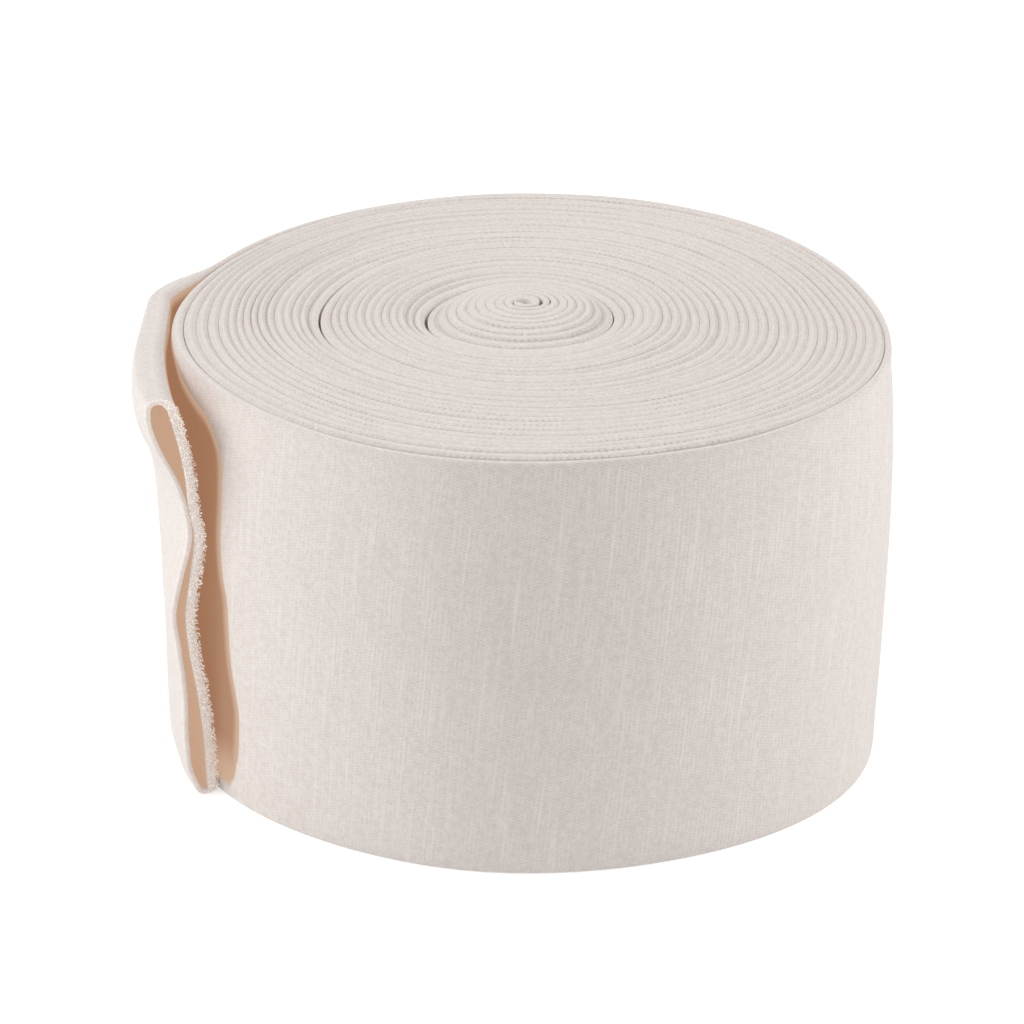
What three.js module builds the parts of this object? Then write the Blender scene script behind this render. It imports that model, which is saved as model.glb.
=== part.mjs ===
// Tubular bandage roll: a flattened tube of knitted elastic cloth, wound into a roll that
// stands on its folded edge, with one loose end whose cut mouth gapes open.
//
// Units are millimetres and +Z is up. The origin is where the winding axis meets the surface
// that the roll stands on. Bearings are degrees about +Z from +X, counter-clockwise as seen
// from above, which is also the way in which the turns grow outwards.

import * as THREE from "three";

// Driving dimensions
const tubeWidth = 100; // across the flattened tube, and so the height of the roll
const rollRadius = 83.6; // mean radius of the outermost turn
const turnPitch = 2.13; // one turn is the two walls of the tube
const wall = turnPitch / 2;
const clearance = 0.3; // between the roll and the cloth that lies against it

// Where the outermost turn leaves the roll
const rootBearing = 154;
const stepSpan = 1.2; // degrees in which the roll's surface drops by one turn

// Rounds that the winding pressed into the outline, by how many there are in one turn
const outlineRounds = [
  { count: 1, rise: 1.2, bearing: -129 },
  { count: 2, rise: 1.4, bearing: -63 },
  { count: 3, rise: 1.0, bearing: -37 },
  { count: 4, rise: 0.4, bearing: -28 },
  { count: 5, rise: 0.5, bearing: -27 },
];

// The side of the roll swells at half its height and draws in under the rim's fold
const sideRows = [
  { level: 1.2, inset: 0.6 },
  { level: 8, inset: 0.35 },
  { level: 20, inset: -0.1 },
  { level: 36, inset: -0.5 },
  { level: 58, inset: -0.9 },
  { level: 78, inset: -0.7 },
  { level: 89, inset: -0.2 },
  { level: 95, inset: 0.2 },
  { level: 98.4, inset: 0 },
];

// One side leans in towards the foot of the roll
const leanBearing = -8;
const leanAtFoot = 1.5;

// The wound face, from the rim to the axis: how high the turns stand over the tube's width,
// and how much deeper a gap between turns opens at the left and right of the face
const faceRows = [
  { radius: 83.3, height: -0.4, gap: 0 },
  { radius: 82.5, height: 0, gap: 0 },
  { radius: 81.9, height: -0.2, gap: 0.1 },
  { radius: 81.3, height: -0.5, gap: 1.1 },
  { radius: 80.6, height: -0.1, gap: 0 },
  { radius: 72, height: 0, gap: 0 },
  { radius: 61, height: 0, gap: 0 },
  { radius: 52, height: 0.1, gap: 0 },
  { radius: 49, height: -0.1, gap: 0.2 },
  { radius: 47.2, height: -0.5, gap: 1.9 },
  { radius: 45.6, height: -0.1, gap: 0.6 },
  { radius: 43, height: 0.4, gap: 0 },
  { radius: 33, height: 0.5, gap: 0 },
  { radius: 25, height: 0.3, gap: 0 },
  { radius: 22.8, height: -0.5, gap: 2.0 },
  { radius: 21.2, height: -1.0, gap: 2.6 },
  { radius: 19.2, height: -0.2, gap: 0.9 },
  { radius: 15.6, height: 1.5, gap: 0 },
  { radius: 11, height: 2.6, gap: 0 },
  { radius: 6, height: 3.1, gap: 0 },
  { radius: 2.4, height: 3.0, gap: 0 },
  { radius: 0, height: 2.0, gap: 0 },
];

// How far the middle of each turn sits off the axis of the outline
const shiftRows = [
  { radius: 0, x: -2.4, y: 2.0 },
  { radius: 21, x: -3.0, y: 2.4 },
  { radius: 47, x: -1.5, y: 1.2 },
  { radius: 72, x: -0.2, y: 0.2 },
  { radius: rollRadius, x: 0, y: 0 },
];

// The underside stands flat on the folded edges
const underRows = [{ radius: 0 }, { radius: 28 }, { radius: 56 }, { radius: 81.9 }];
const underFold = { radius: 82.7, level: 0.35 };

const columnsAround = 96;

// The loose end starts just past the step, thin enough to lie flush with the outermost turn
const rootPastStep = 0.6; // degrees
const rootHalf = 0.93; // half its thickness there
const rootTaper = 0.16; // share of the loose end over which it grows to its full thickness

// The loose end in plan: how far the middle of its thickness runs from the winding axis,
// along its top fold and along its foot
const topLine = [
  { bearing: 158.5, reach: 83.3 },
  { bearing: 161.5, reach: 84.8 },
  { bearing: 165.3, reach: 86.8 },
  { bearing: 169.2, reach: 87.9 },
  { bearing: 173.4, reach: 87.0 },
  { bearing: 180, reach: 86.2 },
  { bearing: 191, reach: 88.0 },
  { bearing: 200.5, reach: 91.6 },
  { bearing: 210.7, reach: 97.9 },
];
const footLine = [
  { bearing: 158.5, reach: 83.1 },
  { bearing: 166, reach: 83.9 },
  { bearing: 180, reach: 84.4 },
  { bearing: 191, reach: 84.1 },
  { bearing: 202, reach: 84.8 },
  { bearing: 209.3, reach: 85.6 },
];

// Up the loose end: half its thickness where it is shut, and at its mouth how far it waves
// away from the roll, how wide the tube gapes, and the share of its length that gapes
const tailRows = [
  { level: 0, shut: 1.2, wave: 0.2, gape: 1.6, reach: 0.3 },
  { level: 6, shut: 1.3, wave: 0.9, gape: 3.6, reach: 0.3 },
  { level: 14, shut: 1.3, wave: 0.7, gape: 4.1, reach: 0.3 },
  { level: 26, shut: 1.2, wave: 0.1, gape: 2.9, reach: 0.35 },
  { level: 38, shut: 1.15, wave: 0.3, gape: 2.3, reach: 0.4 },
  { level: 47, shut: 1.15, wave: 0.1, gape: 2.7, reach: 0.4 },
  { level: 57, shut: 1.15, wave: -2.7, gape: 2.0, reach: 0.4 },
  { level: 66, shut: 1.2, wave: -5.0, gape: 1.0, reach: 0.4 },
  { level: 74, shut: 1.4, wave: -4.4, gape: 0.9, reach: 0.5 },
  { level: 80, shut: 1.9, wave: -2.7, gape: 3.4, reach: 0.6 },
  { level: 87, shut: 2.5, wave: -1.4, gape: 6.1, reach: 0.7 },
  { level: 94, shut: 2.7, wave: -0.9, gape: 6.3, reach: 0.7 },
  { level: 100, shut: 2.5, wave: -0.6, gape: 4.6, reach: 0.7 },
];
const hugReach = 0.45; // share of the loose end over which it still follows the roll's side
const waveReach = 0.42; // share of the loose end over which the mouth's waves die away
const pocketDepth = 0.5; // share of the loose end that is open inside
const leastHollow = 0.12; // half the hollow where the two walls meet
const foldAngles = [0, 30, 60]; // degrees round the fold at the top and at the foot
const bodyLevels = 17;
const stationsAlong = 24;
const stationsInPocket = 10;

const clothColour = 0xe4dcd6;
const clothRoughness = 0.95;

const radians = THREE.MathUtils.degToRad;
const mix = THREE.MathUtils.lerp;

// A smooth curve through one column of a table, against its level or radius
function curveOf(rows, against, column) {
  const sorted = [...rows].sort((a, b) => a[against] - b[against]);
  const places = new Float32Array(sorted.map((row) => row[against]));
  const values = new Float32Array(sorted.map((row) => row[column]));
  const interpolant = new THREE.CubicInterpolant(places, values, 1);
  return (at) => interpolant.evaluate(at)[0];
}

// The roll's outline at a bearing. The turn runs from 0, where the loose end has just left,
// to 1, where the outermost turn comes back to that place one pitch further out.
function outlineRadius(bearing, turn) {
  let radius = rollRadius + turnPitch * (turn - 1);
  for (const round of outlineRounds)
    radius += round.rise * Math.cos(radians(round.count * (bearing - round.bearing)));
  return radius;
}

// Gaps between turns open towards the left and right of the wound face
function gapOpening(bearing) {
  return Math.cos(radians(bearing)) ** 2;
}

// The roll's profile, from the underside's centre round the side to the face's centre
function rollProfile() {
  const under = underRows.map((row) => ({ radius: row.radius, level: 0, gap: 0, lean: 1 }));
  under.push({ ...underFold, gap: 0, lean: 1 });
  const side = sideRows.map((row) => ({
    radius: rollRadius - row.inset,
    level: row.level,
    gap: 0,
    lean: 1 - row.level / tubeWidth,
  }));
  const face = faceRows.map((row) => ({
    radius: row.radius,
    level: tubeWidth + row.height,
    gap: row.gap,
    lean: 0,
  }));
  return [...under, ...side, ...face];
}

const shiftXAt = curveOf(shiftRows, "radius", "x");
const shiftYAt = curveOf(shiftRows, "radius", "y");

// One point of the roll: the outline's rounds fade out towards the axis, where the shift of
// the inner turns takes over
function rollPoint(row, bearing, turn) {
  const share = row.radius / rollRadius;
  const lean = row.lean * leanAtFoot * Math.max(0, Math.cos(radians(bearing - leanBearing)));
  const rounding = outlineRadius(bearing, turn) - rollRadius - lean;
  const radius = row.radius + rounding * share ** 2;
  return new THREE.Vector3(
    radius * Math.cos(radians(bearing)) + shiftXAt(row.radius),
    radius * Math.sin(radians(bearing)) + shiftYAt(row.radius),
    row.level - row.gap * gapOpening(bearing),
  );
}

// The wound form is a lathe's turning, with each of its points moved to the true outline.
// Its last column is the step by which the surface drops where the loose end leaves.
function woundRoll() {
  const profile = rollProfile();
  const outline = profile.map((row) => new THREE.Vector2(row.radius, row.level));
  const geometry = new THREE.LatheGeometry(outline, columnsAround);
  const positions = geometry.getAttribute("position");
  for (let column = 0; column <= columnsAround; column += 1) {
    const last = column === columnsAround;
    const share = last ? 1 : column / (columnsAround - 1);
    const bearing = rootBearing + (last ? 360 : (360 - stepSpan) * share);
    const turn = last ? 0 : share;
    profile.forEach((row, index) => {
      const point = rollPoint(row, bearing, turn);
      positions.setXYZ(column * profile.length + index, point.x, point.y, point.z);
    });
  }
  geometry.deleteAttribute("normal");
  geometry.deleteAttribute("uv");
  return geometry;
}

// A plan line of the loose end, from its root against the roll to its mouth
function planCurve(rows) {
  const bearing = rootBearing + rootPastStep;
  const root = { bearing, reach: outlineRadius(bearing, 0) + clearance + rootHalf };
  const points = [root, ...rows].map(
    (row) =>
      new THREE.Vector3(
        row.reach * Math.cos(radians(row.bearing)),
        row.reach * Math.sin(radians(row.bearing)),
        0,
      ),
  );
  return new THREE.CatmullRomCurve3(points, false, "centripetal");
}

const topCurve = planCurve(topLine);
const footCurve = planCurve(footLine);
const insetAt = curveOf(sideRows, "level", "inset");
const shutAt = curveOf(tailRows, "level", "shut");
const waveAt = curveOf(tailRows, "level", "wave");
const gapeAt = curveOf(tailRows, "level", "gape");
const reachAt = curveOf(tailRows, "level", "reach");

// How far a trait of the mouth is felt at a share of the way along the loose end
function feltFromMouth(along, reach) {
  return THREE.MathUtils.smoothstep(along, 1 - reach, 1);
}

// Half the tube's hollow and half its whole thickness, at a place on the loose end
function hollowHalf(along, level) {
  const closed = Math.max(leastHollow, shutAt(level) - wall);
  return mix(closed, gapeAt(level) / 2, feltFromMouth(along, reachAt(level)));
}

function outsideHalf(along, level) {
  const grown = THREE.MathUtils.smoothstep(along, 0, rootTaper);
  return mix(rootHalf, hollowHalf(along, level) + wall, grown);
}

// The middle of the loose end's thickness, and the way out from the roll there
function tailMiddle(along, level) {
  const height = level / tubeWidth;
  const middle = footCurve.getPointAt(along).lerp(topCurve.getPointAt(along), height);
  const ahead = footCurve.getTangentAt(along).lerp(topCurve.getTangentAt(along), height);
  const outward = new THREE.Vector3(ahead.y, -ahead.x, 0).normalize();
  const hug = -insetAt(level) * (1 - THREE.MathUtils.smoothstep(along, 0, hugReach));
  const wave = waveAt(level) * feltFromMouth(along, waveReach);
  middle.addScaledVector(outward, hug + wave).setZ(level);
  return { middle, outward };
}

// The stops up one side of the flattened tube, from the foot's fold to the top fold: each
// has a level and a share of the thickness, which the two folds round off
function tubeStops() {
  const foldHeight = wall;
  const round = foldAngles.map((angle) => ({
    rise: foldHeight * (1 - Math.cos(radians(angle))),
    share: Math.sin(radians(angle)),
  }));
  const foot = round.map((stop) => ({ level: stop.rise, share: stop.share }));
  const top = round.map((stop) => ({ level: tubeWidth - stop.rise, share: stop.share }));
  const body = [];
  for (let index = 0; index < bodyLevels; index += 1) {
    const level = mix(foldHeight, tubeWidth - foldHeight, index / (bodyLevels - 1));
    body.push({ level, share: 1 });
  }
  return [...foot, ...body, ...top.reverse()];
}

// One ring round the tube at a share of the way along it, on its outside or in its hollow
function tailRing(along, inside) {
  const stops = tubeStops();
  const count = stops.length - 1;
  const pointOn = (stop, side) => {
    const squeezed = mix(wall, tubeWidth - wall, stop.level / tubeWidth);
    const level = inside ? squeezed : stop.level;
    const half = inside ? hollowHalf(along, level) : outsideHalf(along, level);
    const { middle, outward } = tailMiddle(along, level);
    return middle.addScaledVector(outward, side * half * stop.share);
  };
  const outer = stops.map((stop) => pointOn(stop, 1));
  const inner = stops.slice(1, count).map((stop) => pointOn(stop, -1));
  return [...outer, ...inner.reverse()];
}

// A closed skin over rings of equal count, with a flat strip across each end
function skinOver(rings) {
  const count = rings[0].length;
  const indices = [];
  for (let ring = 0; ring < rings.length - 1; ring += 1)
    for (let place = 0; place < count; place += 1) {
      const next = (place + 1) % count;
      const here = ring * count;
      const there = here + count;
      indices.push(here + place, there + next, here + next);
      indices.push(here + place, there + place, there + next);
    }
  const closeEnd = (start, turned) => {
    for (let place = 0; place < count / 2; place += 1) {
      const across = (count - place) % count;
      const corners = [place, place + 1, count - place - 1, across];
      const [a, b, c, d] = corners.map((corner) => start + corner);
      const faces = turned ? [a, c, b, a, d, c] : [a, b, c, a, c, d];
      indices.push(...faces);
    }
  };
  closeEnd(0, false);
  closeEnd((rings.length - 1) * count, true);
  const geometry = new THREE.BufferGeometry().setFromPoints(rings.flat());
  geometry.setIndex(indices);
  return geometry;
}

// The loose end: its outside from root to mouth, then back down the hollow of the tube
function looseEnd() {
  const rings = [];
  for (let station = 0; station <= stationsAlong; station += 1)
    rings.push(tailRing(station / stationsAlong, false));
  for (let station = 0; station <= stationsInPocket; station += 1)
    rings.push(tailRing(1 - (pocketDepth * station) / stationsInPocket, true));
  return skinOver(rings);
}

// One named piece of cloth
function clothPiece(name, geometry) {
  const material = new THREE.MeshStandardMaterial({
    color: clothColour,
    roughness: clothRoughness,
    metalness: 0,
  });
  const mesh = new THREE.Mesh(geometry, material);
  mesh.name = name;
  return mesh;
}

const bandageRoll = new THREE.Group();
bandageRoll.add(clothPiece("wound_roll", woundRoll()));
bandageRoll.add(clothPiece("loose_end", looseEnd()));

export default bandageRoll;
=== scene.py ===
"""Dresses the tubular bandage roll: a flattened knitted tube, wound and standing on its fold.

Sizes are in millimetres and bearings in degrees about +Z from +X, counter-clockwise from above,
which is the way in which the turns grow outwards. Meshes are turned into metres when they are made.
"""

import logging
import math
from collections.abc import Callable
from dataclasses import dataclass, field, replace
from enum import Enum

import bpy
import numpy as np
from mathutils import Matrix, Vector


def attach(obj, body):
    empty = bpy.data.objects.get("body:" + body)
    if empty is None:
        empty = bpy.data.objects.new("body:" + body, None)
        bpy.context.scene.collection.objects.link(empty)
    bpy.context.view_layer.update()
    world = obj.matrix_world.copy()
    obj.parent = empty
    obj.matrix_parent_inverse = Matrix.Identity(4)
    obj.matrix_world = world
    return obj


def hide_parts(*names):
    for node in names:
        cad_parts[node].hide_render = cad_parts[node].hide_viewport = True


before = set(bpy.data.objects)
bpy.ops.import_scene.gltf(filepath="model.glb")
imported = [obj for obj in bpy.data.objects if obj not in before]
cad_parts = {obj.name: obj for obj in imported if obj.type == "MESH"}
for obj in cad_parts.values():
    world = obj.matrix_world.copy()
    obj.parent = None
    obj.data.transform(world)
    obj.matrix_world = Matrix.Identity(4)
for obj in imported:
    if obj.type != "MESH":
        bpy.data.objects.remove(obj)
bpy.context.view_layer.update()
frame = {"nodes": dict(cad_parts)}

MM = 0.001
FULL_TURN = 360.0
BODY = "root"
CLOTH_MAP = "cloth"
FAR = 6.0
FINE_STEPS = 1200
WHITE = (1.0, 1.0, 1.0, 1.0)
BLACK = (0.0, 0.0, 0.0, 1.0)

log = logging.getLogger("bandage_roll")


class Shaded(Enum):
    """The two places that lie in shade, where the cloth gets painted shade and a painted glow in place
    of the light that comes through it, by their attributes.
    """

    GAP = "in_gap"
    HOLLOW = "in_hollow"


class Side(Enum):
    """The two walls of the flattened tube, as the winding sees them."""

    OUT = "out"
    IN = "in"


def smooth_step(value: np.ndarray, low: float, high: float) -> np.ndarray:
    """Ease from 0 at low to 1 at high; low may be the larger of the two."""
    share = np.clip((np.asarray(value, float) - low) / (high - low), 0.0, 1.0)
    return share * share * (3.0 - 2.0 * share)


def blend(first: np.ndarray, second: np.ndarray, share: np.ndarray) -> np.ndarray:
    """Go from the first value to the second as the share goes from 0 to 1."""
    return first + (second - first) * share


def cosine(degrees: np.ndarray) -> np.ndarray:
    """Cosine of an angle in degrees."""
    return np.cos(np.radians(degrees))


def sine(degrees: np.ndarray) -> np.ndarray:
    """Sine of an angle in degrees."""
    return np.sin(np.radians(degrees))


def add_object(name: str, data: bpy.types.ID) -> bpy.types.Object:
    """Make an object with its data and link it to the scene."""
    made = bpy.data.objects.new(name, data)
    bpy.context.scene.collection.objects.link(made)
    return made


def running_total(steps: np.ndarray) -> np.ndarray:
    """Distances along a line from the lengths of its steps, with 0 at its start."""
    return np.concatenate([[0.0], np.cumsum(steps)])


class Curve:
    """A smooth curve through a table of places and values, flat beyond its ends."""

    def __init__(self, rows: tuple[tuple[float, ...], ...], column: int = 1) -> None:
        """Keep the places and the values of one column.

        Args:
            rows: Rows whose first column is the place.
            column: The column that holds the values.
        """
        ordered = sorted(rows)
        self.places = np.array([row[0] for row in ordered], float)
        self.values = np.array([row[column] for row in ordered], float)
        steps = np.diff(self.values) / np.diff(self.places)
        spans = np.diff(self.places)
        inner = (steps[:-1] * spans[1:] + steps[1:] * spans[:-1]) / (spans[1:] + spans[:-1])
        self.slopes = np.concatenate([steps[:1], inner, steps[-1:]])

    def __call__(self, at: np.ndarray) -> np.ndarray:
        """Values at any places.

        Args:
            at: The places.

        Returns:
            The values there, of the same shape.
        """
        place = np.clip(np.asarray(at, float), self.places[0], self.places[-1])
        last = len(self.places) - 2
        index = np.clip(np.searchsorted(self.places, place, side="right") - 1, 0, last)
        span = self.places[index + 1] - self.places[index]
        share = (place - self.places[index]) / span
        start, end = self.values[index], self.values[index + 1]
        lift = share * (1.0 - share)
        rise_in = lift * (1.0 - share) * span * self.slopes[index]
        rise_out = lift * share * span * self.slopes[index + 1]
        return blend(start, end, share * share * (3.0 - 2.0 * share)) + rise_in - rise_out


class Unevenness:
    """Soft seeded noise along a line, the same on every run."""

    def __init__(self, seed: int, pitch: float, length: float) -> None:
        """Draw the values that the noise passes through.

        Args:
            seed: Seed of the draw.
            pitch: Distance between two values.
            length: Length of the line that the noise covers.
        """
        count = int(length / pitch) + 4
        values = np.random.default_rng(seed).uniform(-1.0, 1.0, count)
        self.curve = Curve(tuple((index * pitch, value) for index, value in enumerate(values)))

    def __call__(self, at: np.ndarray) -> np.ndarray:
        """Noise between -1 and 1 at a place on the line."""
        return self.curve(at)


@dataclass(frozen=True)
class Gap:
    """A gap between two turns that shows on the wound face."""

    bearing: float
    radius: float
    span: float
    opening: float
    dip: float
    reach: float = 2.5
    dip_reach: float = 0.8


@dataclass(frozen=True)
class Winding:
    """The form that all turns of the tube share."""

    tube_width: float = 100.0
    roll_radius: float = 83.6
    pitch: float = 2.13
    turns: int = 38
    root_bearing: float = 154.0
    lean_bearing: float = -8.0
    lean_at_foot: float = 1.5
    # count in one turn, rise, bearing
    rounds: tuple[tuple[float, ...], ...] = (
        (1, 1.2, -129),
        (2, 1.4, -63),
        (3, 1.0, -37),
        (4, 0.4, -28),
        (5, 0.5, -27),
    )
    # radius, x, y
    shifts: tuple[tuple[float, ...], ...] = (
        (0, -2.4, 2.0),
        (21, -3.0, 2.4),
        (47, -1.5, 1.2),
        (72, -0.2, 0.2),
        (83.6, 0.0, 0.0),
    )
    # radius, how far the turns there are pressed askew at the left
    skews: tuple[tuple[float, ...], ...] = (
        (0, 0.0), (34, 0.0), (44, 1.2), (50, 2.6), (57, 5.2), (63, 4.2), (70, 1.8), (77, 0.3),
        (83.6, 0.0),
    )
    # radius, how far the turns there stand out at the left, where the loose end pulls on them
    slacks: tuple[tuple[float, ...], ...] = (
        (61, 0.0), (63.5, -0.3), (65.7, -0.7), (67.8, -1.1), (69.9, -1.45), (72.1, -1.65),
        (74.2, -1.6), (76.3, -1.2), (78.45, -0.45), (80.6, 0.6), (81.6, 0.7),
    )
    # radius, height over the width of the tube
    heights: tuple[tuple[float, ...], ...] = (
        (0, 2.0), (2.4, 3.0), (6, 3.1), (11, 2.6), (15.6, 1.6), (19.2, 0.4), (21.2, -0.3),
        (23.2, 0.0), (25.4, 0.3), (33, 0.5), (43, 0.4), (52, 0.1), (61, 0.0), (72, 0.0),
        (83.6, -0.1),
    )
    # level, inset
    side: tuple[tuple[float, ...], ...] = (
        (0, 0.75), (1.2, 0.6), (8, 0.35), (20, -0.1), (36, -0.5), (58, -0.9), (78, -0.7),
        (89, -0.2), (95, 0.2), (98.4, 0.0), (100, 0.0),
    )
    gaps: tuple[Gap, ...] = (
        Gap(bearing=168, radius=21.4, span=80, opening=1.45, dip=0.8),
        Gap(bearing=2, radius=21.2, span=80, opening=0.95, dip=0.6),
        Gap(bearing=176, radius=47.3, span=64, opening=1.3, dip=0.9),
        Gap(bearing=-14, radius=47.4, span=62, opening=0.3, dip=0.35),
        Gap(bearing=-12, radius=40.0, span=60, opening=0.25, dip=0.3),
        Gap(bearing=172, radius=57.2, span=50, opening=0.25, dip=0.35),
        Gap(bearing=8, radius=69.0, span=60, opening=0.2, dip=0.3),
        Gap(bearing=-4, radius=78.4, span=60, opening=0.3, dip=0.4),
    )
    gap_core: float = 0.25
    # bearings between which the pull of the loose end sets in, and fades
    pull_in: tuple[float, float] = (158.0, 180.0)
    pull_out: tuple[float, float] = (248.0, 212.0)
    # turns in from the outside over which the outermost turns are left round
    kept_round: tuple[float, float] = (1.4, 4.0)
    wobble_seed: int = 11
    wobble_waves: int = 9
    wobble_lengths: tuple[float, float] = (20.0, 60.0)
    wobble: float = 0.07
    height_seed: int = 23
    height_noise: float = 0.2
    height_pitches: tuple[float, float] = (46.0, 17.0)
    quick_share: float = 0.45
    front_bearing: float = 272.0
    front_span: float = 62.0
    front_core: float = 0.4
    front_droop: float = 1.1
    droop_before_last: float = 0.3

    def bearing(self, turn: np.ndarray) -> np.ndarray:
        """Bearing at a place on the tube, counted in turns from its inner end."""
        return self.root_bearing + FULL_TURN * (turn - self.turns)

    def turn_at(self, bearing: float, turns_in: int = 0) -> float:
        """Place on the tube, in turns, at a bearing past the root and some turns further in."""
        return self.turns + (bearing - self.root_bearing) / FULL_TURN - turns_in

    def base_radius(self, turn: np.ndarray) -> np.ndarray:
        """Radius of the middle of a turn before anything presses on it."""
        return self.roll_radius - self.pitch / 2 + self.pitch * (turn - self.turns)

    def rounding(self, bearing: np.ndarray) -> np.ndarray:
        """How far the outline's rounds stand out at a bearing.

        Args:
            bearing: Bearings, in degrees.

        Returns:
            How far each place stands out.
        """
        total = np.zeros_like(np.asarray(bearing, float))
        for count, rise, at in self.rounds:
            total = total + rise * cosine(count * (bearing - at))
        return total

    def parting(self, turn: np.ndarray) -> tuple[np.ndarray, np.ndarray]:
        """What the gaps between turns do.

        Args:
            turn: Places on the tube, in turns.

        Returns:
            How far each place moves out, and how far its fold drops.
        """
        moved = np.zeros_like(turn)
        dropped = np.zeros_like(turn)
        for gap in self.gaps:
            frac = ((gap.bearing - self.root_bearing) / FULL_TURN) % 1.0
            inner = (gap.radius - self.roll_radius) / self.pitch + self.turns
            start = np.round(inner - frac) + frac
            layer = np.round(turn - start)
            swing = np.abs(turn - start - layer) * FULL_TURN
            window = smooth_step(swing, gap.span, gap.span * self.gap_core)
            side = layer - 0.5
            away = np.abs(side) - 0.5
            fade = np.exp(-away / gap.reach)
            moved = moved + 0.5 * gap.opening * np.sign(side) * fade * window
            dropped = dropped + gap.dip * window * np.exp(-away / gap.dip_reach)
        return moved, dropped

    def wobbling(self, x: np.ndarray, y: np.ndarray) -> np.ndarray:
        """Small waves that neighbouring turns share.

        Args:
            x: X of the places.
            y: Y of the places.

        Returns:
            How far each place moves out.
        """
        rng = np.random.default_rng(self.wobble_seed)
        total = np.zeros_like(x)
        for _ in range(self.wobble_waves):
            heading = rng.uniform(0.0, math.tau)
            wave = math.tau / rng.uniform(*self.wobble_lengths)
            phase = rng.uniform(0.0, math.tau)
            total = total + np.cos(wave * (x * math.cos(heading) + y * math.sin(heading)) + phase)
        return self.wobble * total

    def at_left(self, bearing: np.ndarray) -> np.ndarray:
        """How much a place lies where the loose end pulls on the roll, from 0 to 1."""
        around = np.asarray(bearing, float) % FULL_TURN
        return smooth_step(around, *self.pull_in) * smooth_step(around, *self.pull_out)

    def middle(self, turn: np.ndarray) -> tuple[np.ndarray, np.ndarray]:
        """Plan position of the middle of the flattened tube.

        Args:
            turn: Places on the tube, in turns.

        Returns:
            X and Y of each place.
        """
        bearing = self.bearing(turn)
        base = self.base_radius(turn)
        share = np.clip(base / self.roll_radius, 0.0, 1.0)
        askew = Curve(self.skews)(base) * sine(bearing) * (1.0 - cosine(bearing)) / 2.0
        outer, inner = (self.roll_radius - turns * self.pitch for turns in self.kept_round)
        inside = smooth_step(base, outer, inner)
        moved, _ = self.parting(turn)
        slack = Curve(self.slacks)(base) * self.at_left(bearing)
        radius = base + self.rounding(bearing) * share**2 + askew + slack + moved * inside
        x = radius * cosine(bearing) + Curve(self.shifts, 1)(base)
        y = radius * sine(bearing) + Curve(self.shifts, 2)(base)
        sway = self.wobbling(x, y) * inside
        return x + sway * cosine(bearing), y + sway * sine(bearing)

    def inset(self, level: np.ndarray) -> np.ndarray:
        """How far the side draws in at a level."""
        return Curve(self.side)(level)

    def lean(self, level: np.ndarray, bearing: np.ndarray) -> np.ndarray:
        """How far the side leans in at a level and a bearing."""
        towards = np.maximum(0.0, cosine(bearing - self.lean_bearing))
        return self.lean_at_foot * (1.0 - level / self.tube_width) * towards

    def along(self, turn: np.ndarray) -> np.ndarray:
        """Length of the tube from its inner end to a place on it."""
        start = self.base_radius(np.zeros(1))[0]
        return math.tau * (start * turn + self.pitch * turn**2 / 2.0)

    def crest(self, turn: np.ndarray) -> np.ndarray:
        """Level of the top fold at a place on the tube.

        Args:
            turn: Places on the tube, in turns.

        Returns:
            The level at each place.
        """
        base = self.base_radius(turn)
        length = self.along(turn)
        total = float(self.along(np.array([self.turns + 1.0]))[0])
        slow, quick = (
            Unevenness(self.height_seed + index, pitch, total)(length)
            for index, pitch in enumerate(self.height_pitches)
        )
        _, dropped = self.parting(turn)
        face = Curve(self.heights)(base)
        uneven = self.height_noise * (slow + self.quick_share * quick)
        return self.tube_width + face - dropped - self.drooping(turn) + uneven

    def drooping(self, turn: np.ndarray) -> np.ndarray:
        """How far the folds of the last two turns sink at the front of the roll.

        Args:
            turn: Places on the tube, in turns.

        Returns:
            How far each fold sinks.
        """
        half_turn = FULL_TURN / 2.0
        away = self.bearing(turn) - self.front_bearing + half_turn
        swing = np.abs(away % FULL_TURN - half_turn)
        near = smooth_step(swing, self.front_span, self.front_span * self.front_core)
        before_last = np.where(turn > self.turns - 2.0, self.droop_before_last, 0.0)
        last = np.where(turn > self.turns - 1.0, 1.0, before_last)
        return self.front_droop * near * last


def round_fold(angles: tuple[float, ...], peak: float = 0.85) -> tuple[tuple[float, float], ...]:
    """A full round fold.

    Args:
        angles: Angles round the fold, from its foot at 0 to its crest at 90.
        peak: How pointed the fold is, from under 1, full, to over 1, pointed.

    Returns:
        The share of the half thickness and the share of the rise at each angle.
    """
    rows = []
    for angle in angles:
        turned = math.radians(angle)
        rows.append((abs(math.cos(turned)) ** peak, abs(math.sin(turned)) ** peak))
    return tuple(rows)


def soft_fold(shares: tuple[float, ...]) -> tuple[tuple[float, float], ...]:
    """A low soft fold that runs into its neighbours.

    Args:
        shares: Shares of the half thickness, from 1 at the fold's foot to 0 at its crest.

    Returns:
        The same shares, each with its share of the rise.
    """
    return tuple((share, 0.5 + 0.5 * math.cos(math.pi * share)) for share in shares)


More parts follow.
